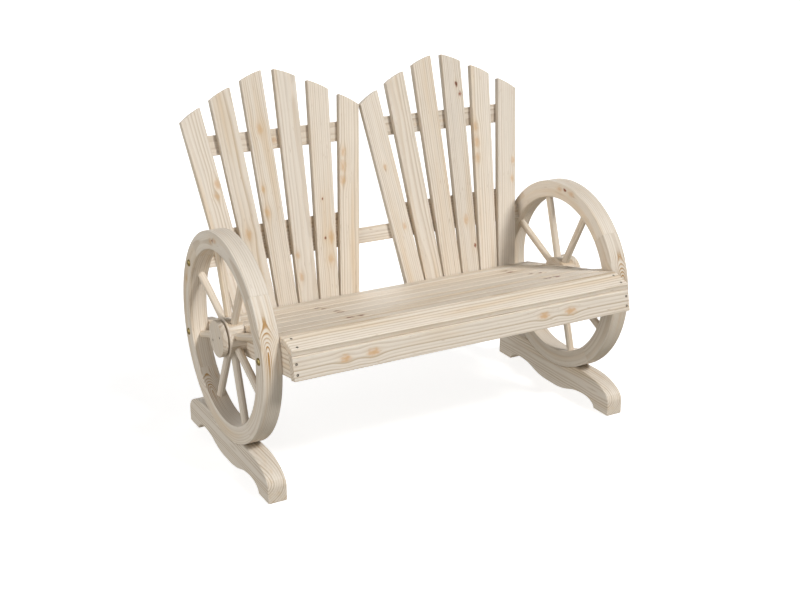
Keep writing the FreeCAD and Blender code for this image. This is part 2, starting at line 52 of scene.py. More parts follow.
def addNode(tree, kind, settings=None, feeds=(), output=0):
    # A setting that is only a word names the operation; feeds come in the inputs' order or by name,
    # and a list of them goes into one input
    node = tree.nodes.new(kind)
    if isinstance(settings, str):
        settings = {"operation": settings}
    for name, value in (settings or {}).items():
        setattr(node, name, value)
    for name, value in feeds.items() if isinstance(feeds, dict) else enumerate(feeds):
        for part in value if isinstance(value, list) else (value,):
            if isinstance(part, bpy.types.NodeSocket):
                tree.links.new(part, node.inputs[name])
            else:
                node.inputs[name].default_value = part
    return node.outputs[output] if node.outputs else node


# Kinds of node, and settings, that come up often
maths = "ShaderNodeMath"
vectorMaths = "ShaderNodeVectorMath"
mapRange = "ShaderNodeMapRange"
splitVector = "ShaderNodeSeparateXYZ"
makeVector = "ShaderNodeCombineXYZ"
mix = "ShaderNodeMix"
noiseTexture = "ShaderNodeTexNoise"
attribute = "ShaderNodeAttribute"
smooth = {"interpolation_type": "SMOOTHSTEP"}
colours = {"data_type": "RGBA"}     # a mix of colours takes inputs 0, 6 and 7, and gives output 2
noiseRange = (0.25, 0.75)           # nearly all of a noise lies in it


def newMaterial(name):
    material = bpy.data.materials.new(name)
    material.use_nodes = True
    material.node_tree.nodes.clear()
    return material, material.node_tree


# Bare fir: pale early wood with thin tan late-wood lines, seen as a solid block,
# so boards show long lines and arches, sawn curves show arrowheads and ends show arcs
firLook = {
    "early": "#DED4C6", "late": "#A3875F", "warm": "#D2BB9B",
    "ringMm": 5.0, "lateRise": (0.30, 0.86), "lateFall": (0.90, 1.0), "palestYear": 0.3, "lineStrength": 0.46,
    "wobbleMm": 4.5, "waveMm": 71.43, "waveLengthMm": 312.5,
    "streakMm": 24.0, "streakLengthMm": 454.5, "streakEdge": (0.48, 0.78), "streakStrength": 0.6,
    "fibreMm": 2.6,         # real fibres are finer than a pixel here, so they are drawn coarser
    "fibreLengthMm": 71.43, "fibreTone": (0.93, 1.05), "fibreRelief": 0.6,
    "fleck": "#9A7650", "fleckMm": 3.0, "fleckLengthMm": 26.0,
    "fleckEdge": (0.68, 0.84), "fleckStrength": 0.55,
    "knot": "#8A5238", "knotHeart": "#5E3524", "knotEdge": (0.3, 1.2), "knotWarmth": 0.35,
    "knotStretch": 0.6, "knotReach": 0.5, "knotPush": 0.85, "ragMm": (11.11, 5.882, 16.67), "ragDepth": 0.5,
    "amber": "#C79A66", "amberEdge": (0.1, 1.7), "amberStrength": 0.5,
    "flame": "#AD8246", "flameStrength": 1.0, "flameWidthMm": 21.0,
    "endGrain": "#D6C6AD", "endStrength": 0.15,
    "reliefMm": 0.2, "reliefStrength": 0.5, "roughness": 0.62, "roughnessSpread": (-0.06, 0.08), "ior": 1.45,
    "logLength": 37.0,      # each piece is cut from another place along it
}
# A piece has up to four knots, and an unused one lies far past its end
knotNames = ("knotA", "knotB", "knotC", "knotD")
noKnot = (9000, 0, 0.01, "dark")


def firMaterial(name, look):
    material, tree = newMaterial(name)
    paint = {part: toLinear(value) for part, value in look.items() if isinstance(value, str)}
    grain = addNode(tree, attribute, {"attribute_name": "grain"}, output="Vector")
    tone = addNode(tree, attribute, {"attribute_name": "tone"}, output="Vector")
    ends = addNode(tree, attribute, {"attribute_name": "endGrain"}, output="Fac")
    figure = addNode(tree, attribute, {"attribute_name": "figure"}, output="Fac")
    along, across, through = addNode(tree, splitVector, None, (grain,)).node.outputs
    pieceTone, pieceWarmth, piecePlace = addNode(tree, splitVector, None, (tone,)).node.outputs
    # Knots push the lines aside, and warm the wood round them
    darkPart, amberPart, nearKnot = 0.0, 0.0, 0.0
    ragScale = tuple(1000 / size for size in look["ragMm"])
    ragPlace = addNode(tree, vectorMaths, "MULTIPLY", (grain, ragScale))
    ragged = addNode(tree, noiseTexture, None, {"Vector": ragPlace, "Scale": 1.0, "Detail": 2.0})
    ragged = addNode(tree, mapRange, None, (ragged, *noiseRange, -look["ragDepth"], look["ragDepth"]))
    for knot in knotNames:
        spot = addNode(tree, attribute, {"attribute_name": knot}, output="Vector")
        knotAlong, knotAcross, signed = addNode(tree, splitVector, None, (spot,)).node.outputs
        size = addNode(tree, maths, "ABSOLUTE", (signed,))
        dAlong = addNode(tree, maths, "SUBTRACT", (along, knotAlong))
        dAcross = addNode(tree, maths, "SUBTRACT", (across, knotAcross))
        stretched = addNode(tree, maths, "MULTIPLY", (dAlong, look["knotStretch"]))
        offset = addNode(tree, makeVector, None, (stretched, dAcross))
        distance = addNode(tree, vectorMaths, "LENGTH", (offset,), "Value")
        reach = addNode(tree, maths, "DIVIDE", (distance, size))
        wide = addNode(tree, maths, "MULTIPLY", (reach, look["knotReach"]))
        square = addNode(tree, maths, "MULTIPLY", (wide, wide))
        minus = addNode(tree, maths, "MULTIPLY", (square, -1.0))
        pull = addNode(tree, maths, "EXPONENT", (minus,))
        part = addNode(tree, maths, "MULTIPLY", (pull, look["knotPush"]))
        push = addNode(tree, maths, "MULTIPLY", (part, dAcross))
        across = addNode(tree, maths, "SUBTRACT", (across, push))
        rag = addNode(tree, maths, "ADD", (reach, ragged))
        shade = addNode(tree, mapRange, smooth, (rag, *look["knotEdge"], 1.0, 0.0))
        glow = addNode(tree, mapRange, smooth, (rag, *look["amberEdge"], 1.0, 0.0))
        isDark = addNode(tree, maths, "LESS_THAN", (signed, 0.0))
        isAmber = addNode(tree, maths, "SUBTRACT", (1.0, isDark))
        dark = addNode(tree, maths, "MULTIPLY", (shade, isDark))
        amber = addNode(tree, maths, "MULTIPLY", (glow, isAmber))
        darkPart = addNode(tree, maths, "MAXIMUM", (darkPart, dark))
        amberPart = addNode(tree, maths, "MAXIMUM", (amberPart, amber))
        nearKnot = addNode(tree, maths, "MAXIMUM", (nearKnot, pull))
    # Noises drawn out along the grain: the waver of the rings, fibres, streaks and flecks
    shift = addNode(tree, maths, "MULTIPLY", (piecePlace, look["logLength"]))
    shifted = addNode(tree, maths, "ADD", (along, shift))
    log = addNode(tree, makeVector, None, (shifted, across, through))
    noise = {}
    for pattern, detail in (("wave", 2.0), ("fibre", 3.0), ("streak", 2.0), ("fleck", 1.0)):
        width, length = 1000 / look[pattern + "Mm"], 1000 / look[pattern + "LengthMm"]
        spot = addNode(tree, vectorMaths, "MULTIPLY", (log, (length, width, width)))
        noise[pattern] = addNode(tree, noiseTexture, None, {"Vector": spot, "Scale": 1.0, "Detail": detail})
    # Growth rings round the pith, wavering along the trunk
    centred = addNode(tree, maths, "SUBTRACT", (noise["wave"], 0.5))
    waver = addNode(tree, maths, "MULTIPLY", (centred, look["wobbleMm"] * 2 / 1000))
    flat = addNode(tree, makeVector, None, (across, through))
    radius = addNode(tree, vectorMaths, "LENGTH", (flat,), "Value")
    ringPlace = addNode(tree, maths, "ADD", (radius, waver))
    phase = addNode(tree, maths, "DIVIDE", (ringPlace, look["ringMm"] / 1000))
    within = addNode(tree, maths, "FRACT", (phase,))
    year = addNode(tree, maths, "FLOOR", (phase,))
    yearSeed = addNode(tree, maths, "ADD", (year, shift))
    yearDice = addNode(tree, "ShaderNodeTexWhiteNoise", {"noise_dimensions": "1D"}, {"W": yearSeed}, "Value")
    rise = addNode(tree, mapRange, smooth, (within, *look["lateRise"], 0.0, 1.0))
    fall = addNode(tree, mapRange, smooth, (within, *look["lateFall"], 1.0, 0.0))
    line = addNode(tree, maths, "MULTIPLY", (rise, fall))
    yearPart = addNode(tree, mapRange, None, (yearDice, 0.0, 1.0, look["palestYear"], 1.0))
    line = addNode(tree, maths, "MULTIPLY", (line, yearPart))
    # Broad warm streaks, and warmth beside knots
    streakPart = addNode(tree, mapRange, smooth,
                         (noise["streak"], *look["streakEdge"], 0.0, look["streakStrength"]))
    warmPart = addNode(tree, maths, "ADD", (streakPart, pieceWarmth))
    knotWarmth = addNode(tree, maths, "MULTIPLY", (nearKnot, look["knotWarmth"]))
    warmPart = addNode(tree, maths, "ADD", (warmPart, knotWarmth))
    warmed = addNode(tree, mix, colours, {0: warmPart, 6: paint["early"], 7: paint["warm"]}, 2)
    # Arrowhead figures on the rims have stronger, browner lines
    beside = addNode(tree, maths, "DIVIDE", (through, look["flameWidthMm"] / 1000))
    besideSquare = addNode(tree, maths, "MULTIPLY", (beside, beside))
    besideMinus = addNode(tree, maths, "MULTIPLY", (besideSquare, -1.0))
    middlePart = addNode(tree, maths, "EXPONENT", (besideMinus,))
    figure = addNode(tree, maths, "MULTIPLY", (figure, middlePart))
    extra = addNode(tree, maths, "MULTIPLY", (figure, look["flameStrength"]))
    strength = addNode(tree, maths, "ADD", (extra, look["lineStrength"]))
    linePart = addNode(tree, maths, "MULTIPLY", (line, strength))
    lineColour = addNode(tree, mix, colours, {0: figure, 6: paint["late"], 7: paint["flame"]}, 2)
    lined = addNode(tree, mix, colours, {0: linePart, 6: warmed, 7: lineColour}, 2)
    # Flecks, the tone of fibres and of the whole piece, sawn ends and knots
    fleckPart = addNode(tree, mapRange, smooth,
                        (noise["fleck"], *look["fleckEdge"], 0.0, look["fleckStrength"]))
    flecked = addNode(tree, mix, colours, {0: fleckPart, 6: lined, 7: paint["fleck"]}, 2)
    fibreTone = addNode(tree, mapRange, None, (noise["fibre"], *noiseRange, *look["fibreTone"]))
    brightness = addNode(tree, maths, "MULTIPLY", (fibreTone, pieceTone))
    grained = addNode(tree, vectorMaths, "SCALE", {0: flecked, "Scale": brightness})
    endPart = addNode(tree, maths, "MULTIPLY", (ends, look["endStrength"]))
    endColour = {0: endPart, 6: grained, 7: paint["endGrain"]}
    sawn = addNode(tree, mix, dict(colours, blend_type="MULTIPLY"), endColour, 2)
    knotColour = addNode(tree, mix, colours, {0: line, 6: paint["knot"], 7: paint["knotHeart"]}, 2)
    spotted = addNode(tree, mix, colours, {0: darkPart, 6: sawn, 7: knotColour}, 2)
    softAmber = addNode(tree, maths, "MULTIPLY", (amberPart, look["amberStrength"]))
    colour = addNode(tree, mix, colours, {0: softAmber, 6: spotted, 7: paint["amber"]}, 2)
    # Late wood stands a little proud, fibres make it matt
    fibreHeight = addNode(tree, maths, "MULTIPLY", (noise["fibre"], look["fibreRelief"]))
    height = addNode(tree, maths, "ADD", (line, fibreHeight))
    bump = addNode(tree, "ShaderNodeBump", None, {
        "Strength": look["reliefStrength"], "Distance": look["reliefMm"] / 1000, "Height": height})
    roughnesses = [look["roughness"] + step for step in look["roughnessSpread"]]
    roughness = addNode(tree, mapRange, None, (noise["fibre"], *noiseRange, *roughnesses))
    surface = addNode(tree, "ShaderNodeBsdfPrincipled", None, {
        "Base Color": colour, "Roughness": roughness, "Normal": bump, "IOR": look["ior"]})
    addNode(tree, "ShaderNodeOutputMaterial", None, {"Surface": surface})
    return material


planedFir = firMaterial("planedFir", firLook)       # slats and rails of the back: fine, quiet lines
brushedFir = firMaterial("brushedFir", dict(        # seat: early wood brushed out, so the lines are stronger
    firLook, ringMm=6.5, streakMm=30.0, lineStrength=0.75, amberStrength=0.75, reliefMm=0.3))
sandedFir = firMaterial("sandedFir", dict(          # wheels: sanded smooth, with faint lines
    firLook, ringMm=5.6, wobbleMm=6.0, lineStrength=0.36))
sawnFir = firMaterial("sawnFir", dict(              # feet: sawn from broad stock, with wavy lines
    firLook, ringMm=6.5, wobbleMm=9.0, lineStrength=0.62))
print("fir materials made")

# Screws and bolts are plated: zinc is a dull grey, yellow zinc a pale brass colour, both cloudy from the bath
plating = {"cloudMm": 3.0, "cloudRange": (0.3, 0.7), "roughnessSpread": (-0.08, 0.1)}


def platedMaterial(name, tones, roughness):
    material, tree = newMaterial(name)
    place = addNode(tree, "ShaderNodeTexCoord", output="Object")
    scale = 1000 / plating["cloudMm"]
    cloud = addNode(tree, noiseTexture, None, {"Vector": place, "Scale": scale, "Detail": 3.0})
    part = addNode(tree, mapRange, None, (cloud, *plating["cloudRange"], 0.0, 1.0))
    colour = addNode(tree, mix, colours, {0: part, 6: toLinear(tones[0]), 7: toLinear(tones[1])}, 2)
    roughnesses = [roughness + step for step in plating["roughnessSpread"]]
    matt = addNode(tree, mapRange, None, (cloud, *plating["cloudRange"], *roughnesses))
    surface = addNode(tree, "ShaderNodeBsdfPrincipled", None, {
        "Base Color": colour, "Roughness": matt, "Metallic": 1.0})
    addNode(tree, "ShaderNodeOutputMaterial", None, {"Surface": surface})
    return material


zincSteel = platedMaterial("zincPlatedSteel", ("#8C8579", "#6F695F"), 0.42)
yellowZinc = platedMaterial("yellowZincSteel", ("#C4B07C", "#9C8750"), 0.32)
print("metal materials made")

# Pieces start from copies of the CAD solids, with their corners merged and their flat faces joined
solidCopy = {"mergeMm": 0.01, "flatDegrees": 0.4}


def mergeCorners(mesh):
    bmesh.ops.remove_doubles(mesh, verts=mesh.verts, dist=solidCopy["mergeMm"] / 1000)


def joinFlatFaces(mesh):
    flat = math.radians(solidCopy["flatDegrees"])
    bmesh.ops.dissolve_limit(mesh, angle_limit=flat, verts=mesh.verts, edges=mesh.edges)


def mergedCopy(nodeName):
    mesh = bmesh.new()
    mesh.from_mesh(nodes[nodeName].data)
    mergeCorners(mesh)
    joinFlatFaces(mesh)
    return mesh


def hullOf(nodeName):
    # The hull leaves out the holes of screws
    mesh = bmesh.new()
    for vert in nodes[nodeName].data.vertices:
        mesh.verts.new(vert.co)
    mergeCorners(mesh)
    made = bmesh.ops.convex_hull(mesh, input=mesh.verts)
    left = made["geom_interior"] + made["geom_unused"]
    spare = dict.fromkeys(item for item in left if isinstance(item, bmesh.types.BMVert))
    bmesh.ops.delete(mesh, geom=list(spare), context="VERTS")
    joinFlatFaces(mesh)
    return mesh


def looseSolids(nodeName):
    # The points of each separate solid in a node
    mesh = bmesh.new()
    mesh.from_mesh(nodes[nodeName].data)
    mergeCorners(mesh)
    groups, seen = [], set()
    for start in mesh.verts:
        group, edge = [], [] if start in seen else [start]
        seen.add(start)
        while edge:
            vert = edge.pop()
            group.append(vert.co.copy())
            for link in vert.link_edges:
                other = link.other_vert(vert)
                if other not in seen:
                    seen.add(other)
                    edge.append(other)
        if group:
            groups.append(group)
    mesh.free()
    return groups


# Where each screw sits: the middle of its head, the way the head faces, and its length
apronLine = -0.2        # frame screws in front of it go through the apron, the others through the side rails


def outward(middle):
    return Vector((math.copysign(1, middle.x), 0, 0))


def frameWay(middle):
    return Vector((0, -1, 0)) if middle.y < apronLine else outward(middle)


def screwPlaces(nodeName, facing):
    places = []
    for points in looseSolids(nodeName):
        middle = sum(points, Vector()) / len(points)
        way = facing(middle)
        first = [p for p in points if (p - middle).dot(way) > 0]
        second = [p for p in points if (p - middle).dot(way) <= 0]
        head = sum(first, Vector()) / len(first)
        tip = sum(second, Vector()) / len(second)
        places.append((head, (head - tip).normalized(), (head - tip).length))
    return sorted(places, key=lambda place: tuple(round(c, 4) for c in place[0]))


screwSets = {
    "seat_screws": screwPlaces("seat_screws", lambda middle: Vector((0, 0, 1))),
    "frame_screws": screwPlaces("frame_screws", frameWay),
    "slat_screws": screwPlaces("slat_screws", lambda middle: Vector((0, 1, 0))),
    "foot_screws": screwPlaces("foot_screws", lambda middle: Vector((0, 0, -1))),
    "hub_cap_screws": screwPlaces("hub_cap_screws", outward),
}
print("fastener places read,", sum(len(places) for places in screwSets.values()), "screws")


def newObject(name, data):
    thing = bpy.data.objects.new(name, data)
    bpy.context.scene.collection.objects.link(thing)
    return thing


def objectFrom(mesh, name):
    data = bpy.data.meshes.new(name)
    mesh.to_mesh(data)
    mesh.free()
    return newObject(name, data)


def settle(piece):
    # Live modifiers become plain mesh
    view = bpy.context.evaluated_depsgraph_get()
    data = bpy.data.meshes.new_from_object(piece.evaluated_get(view), depsgraph=view)
    piece.modifiers.clear()
    piece.data = data


# Round recesses for the screw heads
pocket = {"radiusMm": 3.5, "recessMm": 1.0, "underHeadMm": 0.7, "clearMm": 4.0, "sides": 20}


def cutPockets(piece, places):
    clear = pocket["clearMm"] / 1000
    radius = pocket["radiusMm"] / 1000
    low = Vector(piece.bound_box[0]) - Vector((clear,) * 3)
    high = Vector(piece.bound_box[6]) + Vector((clear,) * 3)
    cutter = bmesh.new()
    used = 0
    for head, way, length in places:
        if all(low[i] < head[i] < high[i] for i in range(3)):
            bottom = head - way * pocket["underHeadMm"] / 1000
            top = head + way * (pocket["recessMm"] / 1000 + clear)
            turn = way.to_track_quat("Z", "Y").to_matrix().to_4x4()
            bmesh.ops.create_cone(
                cutter, cap_ends=True, segments=pocket["sides"], radius1=radius, radius2=radius,
                depth=(top - bottom).length, matrix=Matrix.Translation((top + bottom) / 2) @ turn)
            used += 1
    if not used:
        cutter.free()
        return
    tool = objectFrom(cutter, "pocketTool")
    cut = piece.modifiers.new("pockets", "BOOLEAN")
    cut.object = tool
    cut.operation = "DIFFERENCE"
    cut.solver = "EXACT"
    settle(piece)
    bpy.data.objects.remove(tool)


rounding = {"sharpDegrees": 28.0, "shadeDegrees": 40.0, "steps": 3}


def roundEdges(piece, widthMm, shortestMm, skip=None):
    # Edges as short as the facets of a pocket stay as they are
    mesh = bmesh.new()
    mesh.from_mesh(piece.data)
    weight = mesh.edges.layers.float.new("bevel_weight_edge")
    for edge in mesh.edges:
        if len(edge.link_faces) == 2 and edge.calc_length() > shortestMm / 1000:
            if edge.calc_face_angle() > math.radians(rounding["sharpDegrees"]) and not (skip and skip(edge)):
                edge[weight] = 1.0
    for face in mesh.faces:
        face.smooth = True
    mesh.to_mesh(piece.data)
    mesh.free()
    bevel = piece.modifiers.new("roundedEdges", "BEVEL")
    bevel.width = widthMm / 1000
    bevel.segments = rounding["steps"]
    bevel.limit_method = "WEIGHT"
    bevel.use_clamp_overlap = False
    bevel.harden_normals = True
    piece.data.set_sharp_from_angle(angle=math.radians(rounding["shadeDegrees"]))
    settle(piece)


# Grain: every point of a piece gets its place in the log
grainLook = {"photoSide": (-0.3, -0.8, 0.5), "warmth": (-0.08, 0.12), "endStep": 0.001, "endShare": 0.75}


def grainFrame(mesh):
    # The widest face gives the way through the board, its longest edge the way along the grain
    widest = max(mesh.faces, key=lambda face: face.calc_area())
    longest = max(widest.edges, key=lambda edge: edge.calc_length())
    along = (longest.verts[1].co - longest.verts[0].co).normalized()
    if max(along, key=abs) < 0:
        along = -along
    through = widest.normal.copy()
    if through.dot(Vector(grainLook["photoSide"])) < 0:
        through = -through
    across = through.cross(along).normalized()
    middle = Vector()
    for axis in (along, across, through):
        reach = [vert.co.dot(axis) for vert in mesh.verts]
        middle += axis * (min(reach) + max(reach)) / 2
    return middle, along, across, through


def straightGrain(middle, along, across, through):
    def place(point):
        offset = point - middle
        return offset.dot(along), offset.dot(across), offset.dot(through)
    return place


def bentGrain(axle, radius, turn, figure=None):
    # Follows the rim: along the arc, out from its middle line, and sideways;
    # in a figure the rings slant up to the surface, and show as nested arrowheads
    def place(point):
        out = math.hypot(point.y - axle.y, point.z - axle.z) - radius
        angle = math.atan2(point.z - axle.z, axle.y - point.y) - turn
        along = ((angle + math.pi) % math.tau - math.pi) * radius
        aside = point.x - axle.x
        if figure:
            share = min(max(figure["points"] * along / figure["length"] + 0.5, 0.0), 1.0)
            out += figure["depth"] * share * share * (3 - 2 * share)
            aside *= figure["squeeze"]
        return along, out, aside
    return place


def fillLayer(mesh, name, values):
    layer = mesh.attributes.new(name, "FLOAT_VECTOR", "POINT")
    layer.data.foreach_set("vector", [value for _ in mesh.vertices for value in values])


def writeKnots(mesh, knots=(), pithAcross=0.0):
    # Along and across in metres, and the radius, which is below zero for a dark knot
    for index, label in enumerate(knotNames):
        along, across, radius, kind = knots[index] if index < len(knots) else noKnot
        signed = -radius if kind == "dark" else radius
        fillLayer(mesh, label, (along / 1000, (across - pithAcross) / 1000, signed / 1000))


def giveGrain(piece, place, pithMm, seed, knots=(), toneSpread=0.05, paler=0.0):
    # The grain attribute counts from the pith, in metres: along, across, through
    dice = random.Random(seed)
    brightness = 1 + paler + dice.uniform(-toneSpread, toneSpread)
    tone = (brightness, dice.uniform(*grainLook["warmth"]), dice.random())
    mesh = piece.data
    grain = mesh.attributes.new("grain", "FLOAT_VECTOR", "POINT")
    for vert, entry in zip(mesh.vertices, grain.data):
        along, across, through = place(vert.co)
        entry.vector = (along, across - pithMm[0] / 1000, through - pithMm[1] / 1000)
    fillLayer(mesh, "tone", tone)
    writeKnots(mesh, knots, pithMm[0])
    # Faces across the grain are sawn ends
    ends = mesh.attributes.new("endGrain", "FLOAT", "FACE")
    for face, entry in zip(mesh.polygons, ends.data):
        step = place(face.center + face.normal * grainLook["endStep"])[0] - place(face.center)[0]
        entry.value = 1.0 if abs(step) > grainLook["endShare"] * grainLook["endStep"] else 0.0


def keep(piece, material, slot, *nodeNames):
    piece.data.materials.clear()
    piece.data.materials.append(material)
    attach(piece, "root")
    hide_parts(*nodeNames)


def pieceName(nodeName):
    words = nodeName.split("_")
    return words[0] + "".join(word.capitalize() for word in words[1:])


# Straight boards and rails
boards = {
    "edgeMm": 1.2, "seatEdgeMm": 3.0, "shortestMm": 2.2,
    "toneSpread": 0.05, "seatToneSpread": 0.08, "seatPaler": 0.1,
    "pithDepthMm": (25, 80), "pithAsideMm": (15, 75),
    "notConvex": ("long_back_rail", "seat_bearer"),
    "recessed": ("seat_board", "front_apron", "left_fan", "right_fan", "left_side", "right_side"),
}
straight = {"seat_fir": ["seat_board_" + str(number) for number in range(1, 9)], "back_fir": []}
straight["seat_fir"] += ["front_apron", "left_side_rail", "right_side_rail", "rear_seat_rail", "seat_bearer"]
for side in ("left", "right"):
    straight["back_fir"] += [side + "_back_slat_" + str(number) for number in range(1, 7)]
    straight["back_fir"] += [side + "_fan_rail_lower", side + "_fan_rail_upper"]
straight["back_fir"].append("long_back_rail")

# Knots by piece, in mm from its middle: along, across, radius and kind
boardKnots = {
    "seat_board_3": [
        (-274, -12, 8, "dark"), (-244, -13, 7, "dark"), (330, 2, 8, "dark"), (360, 1, 7, "dark")],
    "seat_board_4": [(-256, 20, 7, "dark")],
    "seat_board_5": [(-255, -14, 6, "dark"), (350, -8, 6, "dark"), (375, -18, 6, "dark")],
    "seat_board_6": [(-268, 18, 6, "dark"), (-262, -8, 6, "dark"), (340, 20, 8, "dark")],
    "seat_board_7": [(344, -8, 6, "dark")],
    "front_apron": [
        (-355, -3, 8, "amber"), (-281, -2, 9, "amber"), (216, 0, 8, "amber"), (299, -1, 9, "amber")],
    "left_back_slat_6": [(103, -20, 7, "amber"), (75, -12, 6, "amber")],
    "left_back_slat_5": [(-60, 5, 8, "amber"), (-169, 8, 4, "dark")],
    "left_back_slat_4": [(192, -1, 7, "amber"), (34, 16, 5, "amber"), (-30, 15, 7, "amber")],
    "left_back_slat_3": [(-155, 20, 5, "amber"), (-215, 16, 7, "amber")],
    "left_back_slat_2": [
        (6, 7, 3, "dark"), (-101, 5, 3.6, "dark"), (-100, -14, 8, "amber"), (-159, -9, 7, "amber")],
    "left_back_slat_1": [(149, 19, 7, "amber"), (110, 20, 8, "amber"), (72, 20, 7, "amber")],
    "right_back_slat_1": [(95, 4, 5, "amber"), (-80, -10, 5, "amber")],
    "right_back_slat_4": [
        (259, -9, 5, "dark"), (230, -19, 5, "dark"), (-208, -21, 5, "dark"), (-133, 1, 8, "amber")],
    "right_back_slat_5": [(150, 24, 7, "amber"), (106, 22, 8, "amber"), (60, 21, 7, "amber")],
    "right_back_slat_6": [(69, -21, 5, "amber"), (16, -18, 5, "amber")],
    "left_fan_rail_upper": [(-4, -4, 7, "amber")],
}
boardScrews = screwSets["seat_screws"] + screwSets["frame_screws"] + screwSets["slat_screws"]
for slot, names in straight.items():
    for nodeName in names:
        solid = mergedCopy(nodeName) if nodeName in boards["notConvex"] else hullOf(nodeName)
        solid.normal_update()
        solid.faces.ensure_lookup_table()
        axes = grainFrame(solid)
        piece = objectFrom(solid, pieceName(nodeName))
        if nodeName.startswith(boards["recessed"]):
            cutPockets(piece, boardScrews)
        isSeat = nodeName.startswith("seat_board")
        roundEdges(piece, boards["seatEdgeMm" if isSeat else "edgeMm"], boards["shortestMm"])
        dice = random.Random(nodeName)
        aside = dice.choice((-1, 1)) * dice.uniform(*boards["pithAsideMm"])
        pith = (aside, -dice.uniform(*boards["pithDepthMm"]))
        toneSpread = boards["seatToneSpread" if isSeat else "toneSpread"]
        paler = boards["seatPaler"] if isSeat else 0.0
        knots = boardKnots.get(nodeName, ())
        giveGrain(piece, straightGrain(*axes), pith, nodeName, knots, toneSpread, paler)
        keep(piece, brushedFir if slot == "seat_fir" else planedFir, slot, nodeName)
print("boards and rails made")

# Wheels: the grain of a felloe follows the rim, with an arrowhead figure where it was sawn through
wheel = {
    "rimWidthMm": 47.0, "edgeMm": 2.4, "edgeSteps": 3, "steps": 44, "jointMm": 0.15, "easedMm": 0.25,
    "firstJoint": 40.0, "order": ("top", "rear", "bottom", "front"), "shadeDegrees": 50.0,
    "pithMm": (18, 110), "pithShare": (0.3, 1.0),
}
# Figured felloes: middle in degrees, way of the arrowheads round the rim, and place towards the cap in mm
flames = {
    "front": {"middle": 17.5, "face": "outer", "points": 1, "asideMm": 8.0},
    "bottom": {"middle": 232.0, "face": "inner", "points": -1, "asideMm": 12.0},
}
arrowheads = {
    "lengthMm": 72.0, "depthMm": 30.0, "pointMm": 12.0, "tailMm": 50.0, "pithUnderMm": 3.0, "squeeze": 1.45,
}
# Knots by felloe, in mm from its middle along the rim and from its middle line
rimKnots = {
    "left_rim_top": [(30, 4, 6, "amber"), (44, 2, 4, "dark"), (58, -2, 6, "amber")],
    "left_rim_rear": [(-70, 2, 5, "amber")],
    "right_rim_top": [(17, 6, 6, "amber"), (-8, 10, 4, "dark"), (-36, 11, 7, "amber")],
}


def rimPlace(side):
    corners = [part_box(side + "_rim_" + part) for part in wheel["order"]]
    low = Vector([min(box[0][i] for box in corners) for i in range(3)])
    high = Vector([max(box[1][i] for box in corners) for i in range(3)])
    return low, high


def roundedSection(low, high, edge, steps):
    # Corners of a rectangle, each drawn as a small arc: radius outwards and x
    points = []
    centres = [(high[0] - edge, high[1] - edge, 0), (low[0] + edge, high[1] - edge, 90),
               (low[0] + edge, low[1] + edge, 180), (high[0] - edge, low[1] + edge, 270)]
    for x, y, start in centres:
        for step in range(steps + 1):
            turn = math.radians(start + 90 * step / steps)
            points.append((x + edge * math.cos(turn), y + edge * math.sin(turn)))
    return points


